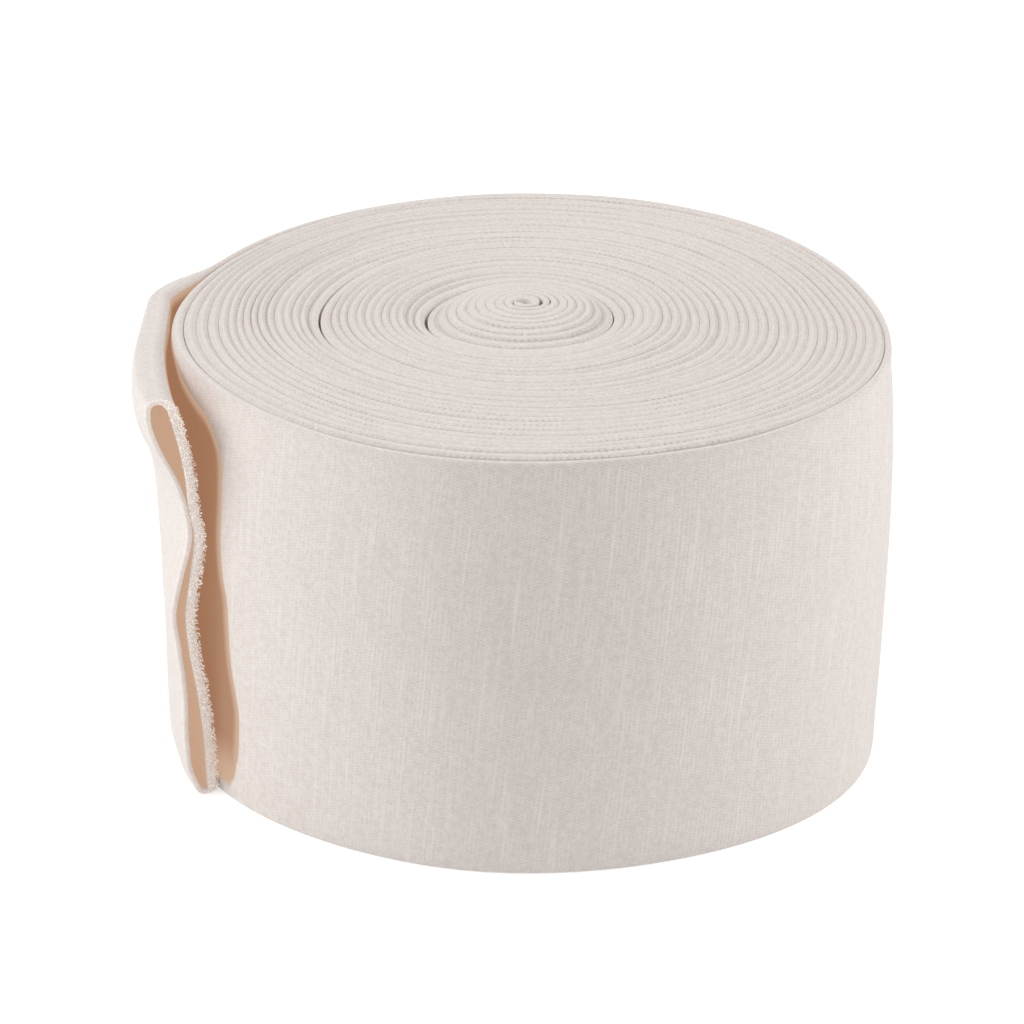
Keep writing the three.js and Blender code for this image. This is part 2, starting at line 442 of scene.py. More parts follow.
@dataclass(frozen=True)
class Section:
    """The section of the flattened tube, from the foot's fold up its outer side and back.

    Its places are symmetric about the crest of the top fold, and the first is the lowest point.
    """

    # share of the half thickness, share of the rise
    top: tuple[tuple[float, float], ...]
    foot: tuple[tuple[float, float], ...]
    body_levels: int

    def places(self) -> np.ndarray:
        """Work out the places round the section.

        Returns:
            For each place its share of the half thickness (out is positive), its share of the
            way up the body, and its shares of the rise of the top fold and of the foot's fold.
        """
        up = [(share, 0.0, 0.0, drop) for share, drop in self.foot]
        for index in range(self.body_levels):
            up.append((1.0, (index + 1) / (self.body_levels + 1), 0.0, 0.0))
        up += [(share, 1.0, lift, 0.0) for share, lift in self.top]
        down = [(-share, body, lift, drop) for share, body, lift, drop in up[1:-1]]
        return np.array(up + down[::-1])

    def crest(self) -> int:
        """Place of the crest of the top fold."""
        return len(self.foot) + self.body_levels + len(self.top) - 1


@dataclass
class Skin:
    """A closed skin swept over rings of equal count, with what its cloth needs."""

    rings: np.ndarray
    lengths: np.ndarray
    crest: int
    inside: dict[str, np.ndarray]
    tube_width: float

    def lengths_round(self) -> np.ndarray:
        """Distances round each ring, with the flat width at its crest.

        Returns:
            The distance at each place, and once more where the ring closes.
        """
        closed = np.concatenate([self.rings, self.rings[:, :1]], axis=1)
        steps = np.linalg.norm(np.diff(closed, axis=1), axis=2)
        total = np.concatenate([np.zeros((len(steps), 1)), np.cumsum(steps, axis=1)], axis=1)
        return total - total[:, self.crest : self.crest + 1] + self.tube_width

    def cap(self, start: int, turned: bool) -> list[list[int]]:
        """Close one end with a strip across the section.

        Args:
            start: First vertex of the end's ring.
            turned: Whether the strip faces along the sweep.

        Returns:
            The faces of the strip.
        """
        count = self.rings.shape[1]
        faces = []
        for place in range(count // 2):
            corners = [place, place + 1, count - place - 1, (count - place) % count]
            face = [start + corner for corner in dict.fromkeys(corners)]
            faces.append(face[::-1] if turned else face)
        return faces

    def object(self, name: str) -> bpy.types.Object:
        """Build the mesh.

        Args:
            name: Name of the piece.

        Returns:
            The object, at the origin, with its cloth coordinates in a UV map.
        """
        stations, count, _ = self.rings.shape
        index = np.arange(stations * count).reshape(stations, count)
        after = np.roll(index, -1, axis=1)
        quads = np.stack([index[:-1], index[1:], after[1:], after[:-1]], axis=-1).reshape(-1, 4)
        faces = quads.tolist()
        faces += self.cap(0, turned=False) + self.cap(int(index[-1, 0]), turned=True)
        mesh = bpy.data.meshes.new(name)
        mesh.from_pydata((self.rings.reshape(-1, 3) * MM).tolist(), [], faces)
        mesh.update()
        self._lay_cloth(mesh)
        for place, values in self.inside.items():
            written = mesh.attributes.new(place, "FLOAT", "POINT")
            written.data.foreach_set("value", values.ravel().astype(np.float32))
        mesh.shade_smooth()
        return add_object(name, mesh)

    def _lay_cloth(self, mesh: bpy.types.Mesh) -> None:
        """Write the cloth coordinates, along the tube and round it, for every corner.

        Args:
            mesh: The mesh of the skin.
        """
        stations, count, _ = self.rings.shape
        rounds = self.lengths_round()
        low, high = rounds[:, :-1], rounds[:, 1:]
        corner_v = np.stack([low[:-1], low[1:], high[1:], high[:-1]], axis=-1)
        here = np.broadcast_to(self.lengths[:-1, None], (stations - 1, count))
        there = np.broadcast_to(self.lengths[1:, None], (stations - 1, count))
        corner_u = np.stack([here, there, there, here], axis=-1)
        swept = np.stack([corner_u, corner_v], axis=-1).reshape(-1, 2)
        corners = np.zeros(len(mesh.loops), dtype=np.int32)
        mesh.loops.foreach_get("vertex_index", corners)
        capped = corners[len(swept) :]
        station, place = capped // count, capped % count
        ends = np.stack([self.lengths[station], rounds[station, place]], axis=-1)
        cloth = mesh.uv_layers.new(name=CLOTH_MAP)
        values = np.concatenate([swept, ends]).astype(np.float32)
        cloth.data.foreach_set("uv", values.ravel())


def outward(x: np.ndarray, y: np.ndarray) -> np.ndarray:
    """Unit vectors that point out of a plan line run counter-clockwise."""
    ahead_x, ahead_y = np.gradient(x), np.gradient(y)
    size = np.hypot(ahead_x, ahead_y)
    return np.stack([ahead_y / size, -ahead_x / size], axis=-1)


@dataclass
class InnerTurns:
    """All turns of the flattened tube but the outermost, as one long closed skin."""

    winding: Winding
    name: str = "inner_turns"
    end_bearing: float = 142.0
    longest_step: float = 2.6
    widest_step: float = 14.0
    thinnest_half: float = 0.3
    fullest_half: float = 1.42
    slit: float = 0.005
    foot_rise: float = 0.9
    flattened: float = 0.4
    # radius, rise of the top fold
    rises: tuple[tuple[float, ...], ...] = (
        (0, 0.1), (10, 0.16), (16, 0.22), (20, 0.36), (26, 0.42), (50, 0.46), (83, 0.52),
    )
    rise_seed: int = 41
    rise_pitch: float = 60.0
    rise_noise: float = 0.25
    section: Section = Section(
        top=soft_fold((1.0, 0.86, 0.68, 0.5, 0.3, 0.12, 0.0)),
        foot=round_fold((90, 45, 0)),
        body_levels=0,
    )

    def stations(self) -> np.ndarray:
        """Places on the tube, in turns, close enough for round turns.

        Returns:
            The places, from the inner end.
        """
        end = self.winding.turn_at(self.end_bearing, turns_in=1)
        places = [0.0]
        while places[-1] < end:
            radius = float(self.winding.base_radius(np.array([places[-1]]))[0])
            step = min(math.degrees(self.longest_step / radius), self.widest_step)
            places.append(places[-1] + step / FULL_TURN)
        places[-1] = end
        return np.array(places)

    def halves(self, turn: np.ndarray) -> dict[Side, np.ndarray]:
        """Half thicknesses that leave a thin slit to the turns on both sides.

        Args:
            turn: Places on the tube, in turns.

        Returns:
            The half on each side of the middle.
        """
        here = np.hypot(*self.winding.middle(turn))
        inner = np.hypot(*self.winding.middle(np.maximum(turn - 1.0, 0.0)))
        outer = np.hypot(*self.winding.middle(turn + 1.0))
        room_in = np.where(turn < 1.0, 2.0 * here, here - inner)
        rooms = {Side.IN: room_in, Side.OUT: outer - here}
        return {
            side: np.clip(room / 2.0 - self.slit, self.thinnest_half, self.fullest_half)
            for side, room in rooms.items()
        }

    def rise(self, turn: np.ndarray) -> np.ndarray:
        """Rise of the top fold, less at the front and the back, where the folds lie flatter.

        Args:
            turn: Places on the tube, in turns.

        Returns:
            The rise at each place.
        """
        full = Curve(self.rises)(self.winding.base_radius(turn))
        length = self.winding.along(turn)
        uneven = Unevenness(self.rise_seed, self.rise_pitch, float(length[-1]))(length)
        flat = self.flattened * sine(self.winding.bearing(turn)) ** 2
        return full * (1.0 + self.rise_noise * uneven) * (1.0 - flat)

    def skin(self) -> Skin:
        """Sweep the tube's section along the winding.

        Returns:
            The skin.
        """
        turn = self.stations()
        x, y = self.winding.middle(turn)
        out = outward(x, y)
        halves = self.halves(turn)
        share, body, lift, drop = self.section.places().T
        half = np.where(share > 0.0, halves[Side.OUT][:, None], halves[Side.IN][:, None])
        rise = self.rise(turn)[:, None]
        crest = self.winding.crest(turn)[:, None]
        further = self.winding.crest(turn + 1.0)[:, None]
        nearer = self.winding.crest(np.maximum(turn - 1.0, 0.0))[:, None]
        beside = np.where(share > 0.0, further, nearer)
        head = crest - rise + 0.5 * (beside - crest) * share**2
        level = blend(self.foot_rise, head, body) + rise * lift - self.foot_rise * drop
        side = half * share
        plan = (x[:, None] + out[:, :1] * side, y[:, None] + out[:, 1:] * side)
        rings = np.stack([*plan, level], axis=-1)
        return Skin(
            rings=rings,
            lengths=self.winding.along(turn),
            crest=self.section.crest(),
            inside={place.value: np.full(level.shape, -FAR) for place in Shaded},
            tube_width=self.winding.tube_width,
        )

    def build(self) -> bpy.types.Object:
        """Make the piece."""
        return self.skin().object(self.name)


class PlanLine:
    """A line of the loose end seen from above, from its root to its mouth."""

    def __init__(self, root: tuple[float, float], rows: tuple[tuple[float, ...], ...]) -> None:
        """Lay a smooth line through its points.

        Args:
            root: Bearing and reach where the loose end leaves the roll.
            rows: Bearing and reach of the points after it.
        """
        points = np.array([(reach * cosine(at), reach * sine(at)) for at, reach in (root, *rows)])
        chords = np.linalg.norm(np.diff(points, axis=0), axis=1)
        knots = running_total(np.sqrt(chords))
        fine = np.linspace(0.0, knots[-1], FINE_STEPS)
        self.x = Curve(tuple(zip(knots, points[:, 0])))(fine)
        self.y = Curve(tuple(zip(knots, points[:, 1])))(fine)
        steps = np.hypot(np.diff(self.x), np.diff(self.y))
        self.shares = running_total(steps)
        self.length = float(self.shares[-1])
        self.shares /= self.length

    def __call__(self, along: np.ndarray) -> np.ndarray:
        """Points of the line at shares of its length."""
        lines = (self.x, self.y)
        return np.stack([np.interp(along, self.shares, line) for line in lines], axis=-1)


@dataclass(frozen=True)
class MouthShape:
    """How the loose end stands off the roll and gapes at its cut end."""

    # bearing, reach of the middle along the top fold
    top_line: tuple[tuple[float, ...], ...] = (
        (158.5, 83.3), (161.5, 84.8), (165.3, 86.8), (169.2, 87.9), (173.4, 87.0), (180, 86.2),
        (191, 88.0), (200.5, 91.6), (210.7, 97.9),
    )
    # bearing, reach of the middle along the foot
    foot_line: tuple[tuple[float, ...], ...] = (
        (158.5, 83.1), (166, 83.9), (180, 84.4), (191, 84.1), (202, 84.8), (209.3, 85.6),
    )
    # level, half thickness where shut, wave away from the roll, gape, share that gapes
    rows: tuple[tuple[float, ...], ...] = (
        (0, 1.2, 0.2, 1.6, 0.3),
        (6, 1.3, 0.9, 3.6, 0.3),
        (14, 1.3, 0.7, 4.1, 0.3),
        (26, 1.2, 0.1, 2.9, 0.35),
        (38, 1.15, 0.3, 2.3, 0.4),
        (47, 1.15, 0.1, 2.7, 0.4),
        (57, 1.15, -2.7, 2.0, 0.4),
        (66, 1.2, -5.0, 1.0, 0.4),
        (74, 1.4, -4.7, 0.8, 0.5),
        (80, 1.9, -4.2, 2.2, 0.6),
        (87, 2.5, -2.7, 4.4, 0.7),
        (94, 2.7, -1.5, 5.1, 0.7),
        (100, 2.5, -1.2, 3.4, 0.7),
    )
    # level, how much further the outer wall swells behind the mouth
    swells: tuple[tuple[float, ...], ...] = (
        (0, 0.0), (60, 0.0), (70, 0.3), (76, 1.0), (82, 1.9), (87, 2.2), (93, 1.85), (97, 1.4),
        (100, 1.1),
    )
    wall: float = 1.065
    least_hollow: float = 0.12
    root_half: float = 1.0
    root_taper: float = 0.16
    hug_reach: float = 0.45
    wave_reach: float = 0.42
    pocket_depth: float = 0.62
    ragged: float = 0.35
    flare_in: float = 0.5
    flare_out: float = 0.1
    flare_from: float = 0.9
    # shares of the length between which the swell sets in, and fades
    swell_in: tuple[float, float] = (0.15, 0.5)
    swell_out: tuple[float, float] = (1.0, 0.84)

    def hollow_half(self, along: np.ndarray, level: np.ndarray) -> np.ndarray:
        """Half the width of the hollow at shares of the length and levels.

        Args:
            along: Shares of the length of the loose end.
            level: Levels.

        Returns:
            Half the width at each place.
        """
        shut = np.maximum(self.least_hollow, Curve(self.rows, 1)(level) - self.wall)
        reach = Curve(self.rows, 4)(level)
        felt = smooth_step((along - (1.0 - reach)) / reach, 0.0, 1.0)
        return blend(shut, Curve(self.rows, 3)(level) / 2.0, felt)

    def outside_half(self, along: np.ndarray, level: np.ndarray) -> np.ndarray:
        """Half the whole thickness at shares of the length and levels."""
        grown = smooth_step(along, 0.0, self.root_taper)
        return blend(self.root_half, self.hollow_half(along, level) + self.wall, grown)

    def swell(self, along: np.ndarray, level: np.ndarray) -> np.ndarray:
        """How far the outer wall stands out more between the root and the mouth."""
        felt = smooth_step(along, *self.swell_in) * smooth_step(along, *self.swell_out)
        return Curve(self.swells)(level) * felt

    def offset(self, along: np.ndarray, level: np.ndarray, inset: np.ndarray) -> np.ndarray:
        """How far the middle stands out from its plan lines."""
        hug = -inset * (1.0 - smooth_step(along, 0.0, self.hug_reach))
        wave = Curve(self.rows, 2)(level) * smooth_step(along, 1.0 - self.wave_reach, 1.0)
        return hug + wave


@dataclass
class OuterTurn:
    """The outermost turn and, past its root, the loose end with the tube's cut mouth."""

    winding: Winding
    mouth: MouthShape = MouthShape()
    name: str = "outer_turn"
    start_bearing: float = 142.0
    step: float = 1.5
    tail_stations: int = 96
    pocket_stations: int = 34
    half: float = 1.03
    slack_half: float = 0.65
    root_half: float = 0.93
    clearance: float = 0.3
    parts_over: float = 0.08
    top_rise: float = 1.0
    shoulder_rise: float = 3.4
    full_rise: float = 2.4
    # shares of the length between which the fold grows full
    full_over: tuple[float, float] = (0.05, 0.4)
    foot_rise: float = 0.9
    hollow_foot: float = 0.6
    hollow_drop: float = 0.4
    root_past: float = 0.6
    first_station: float = 0.004
    tail_crowding: float = 1.15
    pocket_crowding: float = 1.3
    ragged_from: float = 0.93
    # seed, pitch, share of the raggedness
    ragged_noise: tuple[tuple[float, ...], ...] = ((31, 6.0, 0.7), (32, 2.4, 0.4))
    rim_length: float = 0.5
    edge_bulge: float = 0.3
    rim: float = 0.4
    # level, share of the outer wall's half thickness on the roll
    shoulder: tuple[tuple[float, ...], ...] = (
        (0, 1.0), (88, 1.0), (93, 0.93), (97, 0.74), (100, 0.6),
    )
    # level, bearing where the shade of the gap ends on the roll
    shade_end: tuple[tuple[float, ...], ...] = (
        (0, 213.0), (5, 214.0), (9, 215.0), (12.6, 215.9), (18.5, 216.5), (24, 216.8), (28, 216.3),
        (34.5, 215.4), (44.5, 215.1), (51.4, 215.0), (56, 214.2), (64, 213.7), (74.4, 214.2),
        (85, 214.3), (100, 214.3),
    )
    # bearing, level of the shade's upper end on the roll
    shade_top: tuple[tuple[float, ...], ...] = (
        (150, 98.6), (180, 98.3), (191.5, 97.6), (197, 95.4), (204, 93.5), (210, 91.2), (213, 87.6),
        (216, 84.0),
    )
    shade_corner: float = 2.6
    shade_reach: float = 0.2
    facing_share: float = 0.6
    tail_top: float = 98.4
    pale_foot: float = 5.0
    foot_depth: float = 0.3
    foot_fade: float = 0.2
    section: Section = Section(
        top=round_fold((0, 15, 30, 45, 60, 75, 90)),
        foot=round_fold((90, 60, 30, 0)),
        body_levels=44,
    )
    # what the skin leaves for the frayed edge and for the cloth's length
    tail_length: float = field(init=False)
    edge: np.ndarray = field(init=False)
    edge_ahead: np.ndarray = field(init=False)
    edge_across: np.ndarray = field(init=False)

    def lines(self) -> tuple[PlanLine, PlanLine]:
        """The loose end's plan lines, along its foot and along its top fold.

        Returns:
            The line of the foot, and that of the top fold.
        """
        bearing = self.winding.root_bearing + self.root_past
        outline = self.winding.roll_radius - self.winding.pitch
        outline += float(self.winding.rounding(np.array(bearing)))
        root = (bearing, outline + self.clearance + self.root_half)
        return PlanLine(root, self.mouth.foot_line), PlanLine(root, self.mouth.top_line)

    def rings(
        self,
        foot: np.ndarray,
        top: np.ndarray,
        along: np.ndarray,
        turn: np.ndarray,
        inside: bool,
    ) -> tuple[np.ndarray, dict[Shaded, np.ndarray]]:
        """Lay the section round each station.

        Args:
            foot: Plan points of the middle at the foot.
            top: Plan points of the middle at the top fold.
            along: Share of the loose end's length, 0 where the turn is on the roll.
            turn: Place on the tube, in turns.
            inside: Whether this is the hollow of the tube.

        Returns:
            The points of the rings, and how far inside each shaded place they lie.
        """
        winding, mouth = self.winding, self.mouth
        share, body, lift, drop = self.section.places().T
        loose = along[:, None]
        wall = mouth.wall if inside else 0.0
        on_roll = np.where(share > 0.0, self.shoulder_rise, self.top_rise)
        full = smooth_step(loose, *self.full_over)
        rise = blend(on_roll, self.full_rise, full) - self.hollow_drop * wall
        crest = winding.crest(turn)[:, None] - wall
        foot_level = self.foot_rise + wall
        head = crest - rise
        foot_rise = self.foot_rise * (self.hollow_foot if inside else 1.0)
        level = blend(foot_level, head, body) + rise * lift - foot_rise * drop
        flat = np.clip(level, 0.0, winding.tube_width)
        half_of = mouth.hollow_half if inside else mouth.outside_half
        half = half_of(loose, flat)
        bearing = winding.bearing(turn)[:, None]
        wound = self.half + self.slack_half * winding.at_left(bearing)
        wound = wound * np.where(share > 0.0, Curve(self.shoulder)(flat), 1.0)
        half = blend(wound, half, smooth_step(loose, 0.0, self.parts_over))
        half = half + np.where(share > 0.0, mouth.swell(loose, flat), 0.0)
        near = smooth_step(loose, mouth.flare_from, 1.0) * (-1.0 if inside else 1.0)
        half = half + near * np.where(share > 0.0, mouth.flare_out, mouth.flare_in)
        inset = winding.inset(flat)
        offset = np.where(loose > 0.0, mouth.offset(loose, flat, inset), -inset)
        offset = offset - winding.lean(flat, bearing)
        height = (flat / winding.tube_width)[..., None]
        base = blend(foot[:, None, :], top[:, None, :], height)
        foot_out, top_out = (outward(*line.T)[:, None, :] for line in (foot, top))
        out = blend(foot_out, top_out, height)
        if inside:
            out = -out
        out = out / np.linalg.norm(out, axis=-1, keepdims=True)
        plan = base + out * (offset + half * share)[..., None]
        points = np.concatenate([plan, level[..., None]], axis=-1)
        return points, self.shaded(share, flat, along, turn, inside)

    def shaded(
        self,
        share: np.ndarray,
        level: np.ndarray,
        along: np.ndarray,
        turn: np.ndarray,
        inside: bool,
    ) -> dict[Shaded, np.ndarray]:
        """Millimetres by which each point lies inside the shaded places, negative outside them.

        Args:
            share: Share of the half thickness; out is positive.
            level: Levels of the points.
            along: Share of the loose end's length of each ring.
            turn: Place of each ring on the tube, in turns.
            inside: Whether this is the hollow of the tube.

        Returns:
            The depth of every point in each place.
        """
        outside = np.full(level.shape, -FAR)
        loose = along[:, None]
        from_mouth = (1.0 - loose) * self.tail_length + 0.0 * level
        if inside:
            return {Shaded.GAP: outside, Shaded.HOLLOW: np.minimum(from_mouth - self.rim, FAR)}
        on_tail = np.where(loose > 0.0, -from_mouth - self.rim, -FAR)
        bearing = (self.winding.bearing(turn) + FULL_TURN)[:, None]
        degree = math.radians(1.0) * self.winding.roll_radius
        behind = (Curve(self.shade_end)(level) - bearing) * degree
        under = Curve(self.shade_top)(bearing) - level
        behind = 0.5 * (behind + under - np.hypot(behind - under, self.shade_corner))
        behind = np.where(share > self.facing_share, behind + self.shade_reach, -FAR)
        facing = np.minimum(from_mouth - self.rim, self.tail_top - level)
        facing = np.where(share < -self.facing_share, facing, -FAR)
        gap = np.where(loose > 0.0, facing, behind)
        gap = np.minimum(gap, self.foot_depth + (level - self.pale_foot) * self.foot_fade)
        return {Shaded.GAP: np.clip(gap, -FAR, FAR), Shaded.HOLLOW: np.maximum(on_tail, -FAR)}

    def skin(self) -> Skin:
        """Sweep the outermost turn, the loose end, and the hollow back from its mouth.

        Returns:
            The skin.
        """
        winding = self.winding
        begin = winding.turn_at(self.start_bearing, turns_in=1)
        count = int((winding.turns - begin) * FULL_TURN / self.step)
        on_roll = np.linspace(begin, winding.turns, count, endpoint=False)
        x, y = winding.middle(on_roll)
        roll = np.stack([x, y], axis=-1)
        foot_line, top_line = self.lines()
        stations = np.linspace(self.first_station, 1.0, self.tail_stations)
        along = 1.0 - (1.0 - stations) ** self.tail_crowding
        roll_length = winding.along(on_roll)
        tail_length = (foot_line.length + top_line.length) / 2.0
        self.tail_length = tail_length
        root_length = float(winding.along(np.array([float(winding.turns)]))[0])
        tail_turn = winding.turns + along * tail_length / (math.tau * winding.roll_radius)
        outer, shaded_out = self.rings(
            np.concatenate([roll, foot_line(along)]),
            np.concatenate([roll, top_line(along)]),
            np.concatenate([np.zeros(count), along]),
            np.concatenate([on_roll, tail_turn]),
            inside=False,
        )
        depths = np.linspace(0.0, 1.0, self.pocket_stations) ** self.pocket_crowding
        back = 1.0 - self.mouth.pocket_depth * depths
        back_turn = winding.turns + back * tail_length / (math.tau * winding.roll_radius)
        hollow_lines = (foot_line(back), top_line(back))
        inner, shaded_in = self.rings(*hollow_lines, back, back_turn, inside=True)
        outer_edge, inner_edge = outer[-1], inner[0]
        ahead = outer[-1] - outer[-2]
        ahead[:, 2] = 0.0
        ahead /= np.linalg.norm(ahead, axis=-1, keepdims=True)
        edge = (outer_edge + inner_edge) / 2.0 + ahead * self.edge_bulge
        rings = np.concatenate([outer, edge[None], inner])
        mouth_length = root_length + tail_length + self.rim_length
        further = mouth_length + self.rim_length + (1.0 - back) * tail_length
        parts = [roll_length, root_length + along * tail_length, [mouth_length], further]
        lengths = np.concatenate(parts)
        near_out, near_in = (smooth_step(place, self.ragged_from, 1.0) for place in (along, back))
        felt = np.concatenate([np.zeros(count), near_out, [1.0], near_in])
        rings = self.ragged(rings, felt, ahead)
        self.edge_ahead = ahead
        self.edge = rings[count + self.tail_stations]
        self.edge_across = (outer_edge - inner_edge) / 2.0
        rim = np.full((1, rings.shape[1]), -self.rim)
        inside = {
            place.value: np.concatenate([shaded_out[place], rim, shaded_in[place]])
            for place in Shaded
        }
        return Skin(
            rings=rings,
            lengths=lengths,
            crest=self.section.crest(),
            inside=inside,
            tube_width=winding.tube_width,
        )

    def ragged(self, rings: np.ndarray, felt: np.ndarray, ahead: np.ndarray) -> np.ndarray:
        """Let the cut edge run unevenly.

        Args:
            rings: Points of the rings.
            felt: How much of the unevenness each ring takes.
            ahead: The way in which the tube runs at each place of its mouth.

        Returns:
            The moved points.
        """
        steps = np.linalg.norm(np.diff(rings[-1], axis=0), axis=1)
        edge = running_total(steps)
        moved = np.zeros(len(edge))
        for seed, pitch, share in self.ragged_noise:
            moved = moved + share * Unevenness(seed, pitch, float(edge[-1]))(edge)
        moved = self.mouth.ragged * moved
        return rings + felt[:, None, None] * (ahead * moved[:, None])[None]

    def build(self) -> bpy.types.Object:
        """Make the piece."""
        return self.skin().object(self.name)


def arithmetic(
    operation: str,
    swapped: bool = False,
) -> Callable[["Wire", "Wire | float"], "Wire"]:
    """Make the method behind one arithmetic sign.

    Args:
        operation: Operation of the Math node that it adds.
        swapped: Whether the wire comes second.

    Returns:
        The method.
    """

    def work_out(wire: "Wire", other: "Wire | float") -> "Wire":
        """Add the Math node on the wire and the other value."""
        values = (other, wire) if swapped else (wire, other)
        return wire.bench.maths(operation, *values)

    return work_out


class Wire:
    """An output of a node, which Python expressions can work on."""

    def __init__(self, bench: "NodeBench", socket: bpy.types.NodeSocket) -> None:
        """Keep the socket and the tree that it belongs to."""
        self.bench = bench
        self.socket = socket

    __add__ = arithmetic("ADD")
    __radd__ = arithmetic("ADD", swapped=True)
    __sub__ = arithmetic("SUBTRACT")
    __rsub__ = arithmetic("SUBTRACT", swapped=True)
    __mul__ = arithmetic("MULTIPLY")
    __rmul__ = arithmetic("MULTIPLY", swapped=True)
    __truediv__ = arithmetic("DIVIDE")


class NodeBench:
    """A node tree, and short ways to add to it."""

    def __init__(self, tree: bpy.types.NodeTree) -> None:
        """Keep the tree."""
        self.tree = tree

    def node(
        self,
        kind: str,
        settings: dict | None = None,
        sockets: dict | None = None,
    ) -> bpy.types.Node:
        """Add a node.

        Args:
            kind: The node's type.
            settings: Its properties, which are set first.
            sockets: Values or wires of its inputs, by name or by place.

        Returns:
            The node.
        """
        made = self.tree.nodes.new(kind)
        for key, value in (settings or {}).items():
            setattr(made, key, value)
        for key, value in (sockets or {}).items():
            socket = made.inputs[key]
            if isinstance(value, Wire):
                self.tree.links.new(value.socket, socket)
            else:
                socket.default_value = value
        return made

    def wire(
        self,
        kind: str,
        settings: dict | None = None,
        sockets: dict | None = None,
        output: str | int = 0,
    ) -> Wire:
        """Add a node and take one of its outputs.

        Args:
            kind: The node's type.
            settings: Its properties.
            sockets: Values or wires of its inputs.
            output: Name or place of the output.

        Returns:
            The output.
        """
        return Wire(self, self.node(kind, settings, sockets).outputs[output])

    def maths(self, operation: str, *values: "Wire | float") -> Wire:
        """Add a Math node on wires and numbers."""
        return self.wire("ShaderNodeMath", {"operation": operation}, dict(enumerate(values)))

    def scaled(self, vector: Wire, factor: "Wire | float") -> Wire:
        """Scale a vector or a colour by a value."""
        settings = {"operation": "SCALE"}
        return self.wire("ShaderNodeVectorMath", settings, {0: vector, "Scale": factor})

    def summed(self, first: Wire, second: Wire) -> Wire:
        """Add two vectors."""
        return self.wire("ShaderNodeVectorMath", {"operation": "ADD"}, {0: first, 1: second})

    def place(self, x: "Wire | float" = 0.0, y: "Wire | float" = 0.0, z: "Wire | float" = 0.0) -> Wire:
        """A vector from its three values."""
        return self.wire("ShaderNodeCombineXYZ", {}, {0: x, 1: y, 2: z})


class ClothTree(NodeBench):
    """The nodes of one material."""

    def __init__(self, name: str) -> None:
        """Start an empty material.

        Args:
            name: Name of the material.
        """
        self.material = bpy.data.materials.new(name)
        self.material.use_nodes = True
        super().__init__(self.material.node_tree)
        self.tree.nodes.clear()

    def cosine(self, value: Wire) -> Wire:
        """Cosine of a wire that counts whole waves, from 0 to 1."""
        return self.maths("COSINE", value * math.tau) * 0.5 + 0.5

    def ease(self, value: Wire, low: float, high: float) -> Wire:
        """Ease from 0 at low to 1 at high.

        Args:
            value: The wire.
            low: Where the easing starts; it may be the larger of the two.
            high: Where it ends.

        Returns:
            The eased value.
        """
        if low > high:
            return 1.0 - self.ease(value, high, low)
        settings = {"interpolation_type": "SMOOTHSTEP"}
        sockets = {"Value": value, "From Min": low, "From Max": high}
        return self.wire("ShaderNodeMapRange", settings, sockets)

    def parts(self, vector: Wire) -> tuple[Wire, Wire]:
        """The first two values of a vector."""
        outputs = self.node("ShaderNodeSeparateXYZ", {}, {0: vector}).outputs
        return Wire(self, outputs[0]), Wire(self, outputs[1])

    def object_place(self) -> Wire:
        """The place on the piece, in its own coordinates."""
        return self.wire("ShaderNodeTexCoord", {}, {}, "Object")

    def noise(self, vector: Wire, scale: float = 1.0, detail: float = 2.0) -> Wire:
        """Soft noise from 0 to 1."""
        sockets = {"Vector": vector, "Scale": scale, "Detail": detail}
        return self.wire("ShaderNodeTexNoise", {"noise_dimensions": "3D"}, sockets, "Fac")

    def mix(self, share: "Wire | float", first: "Wire | tuple", second: "Wire | tuple") -> Wire:
        """Mix two colours."""
        settings = {"data_type": "RGBA", "blend_type": "MIX"}
        return self.wire("ShaderNodeMix", settings, {0: share, 6: first, 7: second}, 2)

    def trait(self, name: str) -> Wire:
        """A value that the mesh carries."""
        return self.wire("ShaderNodeAttribute", {"attribute_name": name}, {}, "Fac")

    def spots(self, along: Wire, across: Wire, spots: "Spots") -> Wire:
        """Soft noise from 0 to 1 on the flat cloth, with spots of one size."""
        place = self.place(along / spots.along, across / spots.across)
        return self.noise(place, 1.0, spots.detail)

    def weighed(self, shares: tuple[tuple[str, float], ...], parts: dict[str, Wire]) -> Wire:
        """Sum of parts, each times its share."""
        terms = [parts[name] * share for name, share in shares]
        return sum(terms[1:], terms[0])

    def finish(self, sockets: dict, sampled: bool = True) -> bpy.types.Material:
        """Close the material.

        Args:
            sockets: Inputs of its one shader.
            sampled: Whether its glow counts as a light.

        Returns:
            The material.
        """
        shader = self.wire("ShaderNodeBsdfPrincipled", {}, sockets)
        self.node("ShaderNodeOutputMaterial", {}, {"Surface": shader})
        if not sampled:
            self.material.cycles.emission_sampling = "NONE"
        return self.material


def linear(red: int, green: int, blue: int) -> tuple[float, float, float, float]:
    """A colour for a shader from its screen values of 0 to 255.

    Args:
        red: Red screen value.
        green: Green screen value.
        blue: Blue screen value.

    Returns:
        The linear colour with its opacity of 1.
    """
    channels = []
    for value in (red, green, blue):
        share = value / 255.0
        channels.append(share / 12.92 if share <= 0.04045 else ((share + 0.055) / 1.055) ** 2.4)
    return (*channels, 1.0)


@dataclass(frozen=True)
class Spots:
    """Size of the spots of soft noise on the flat cloth, in millimetres."""

    along: float
    across: float
    detail: float = 2.0


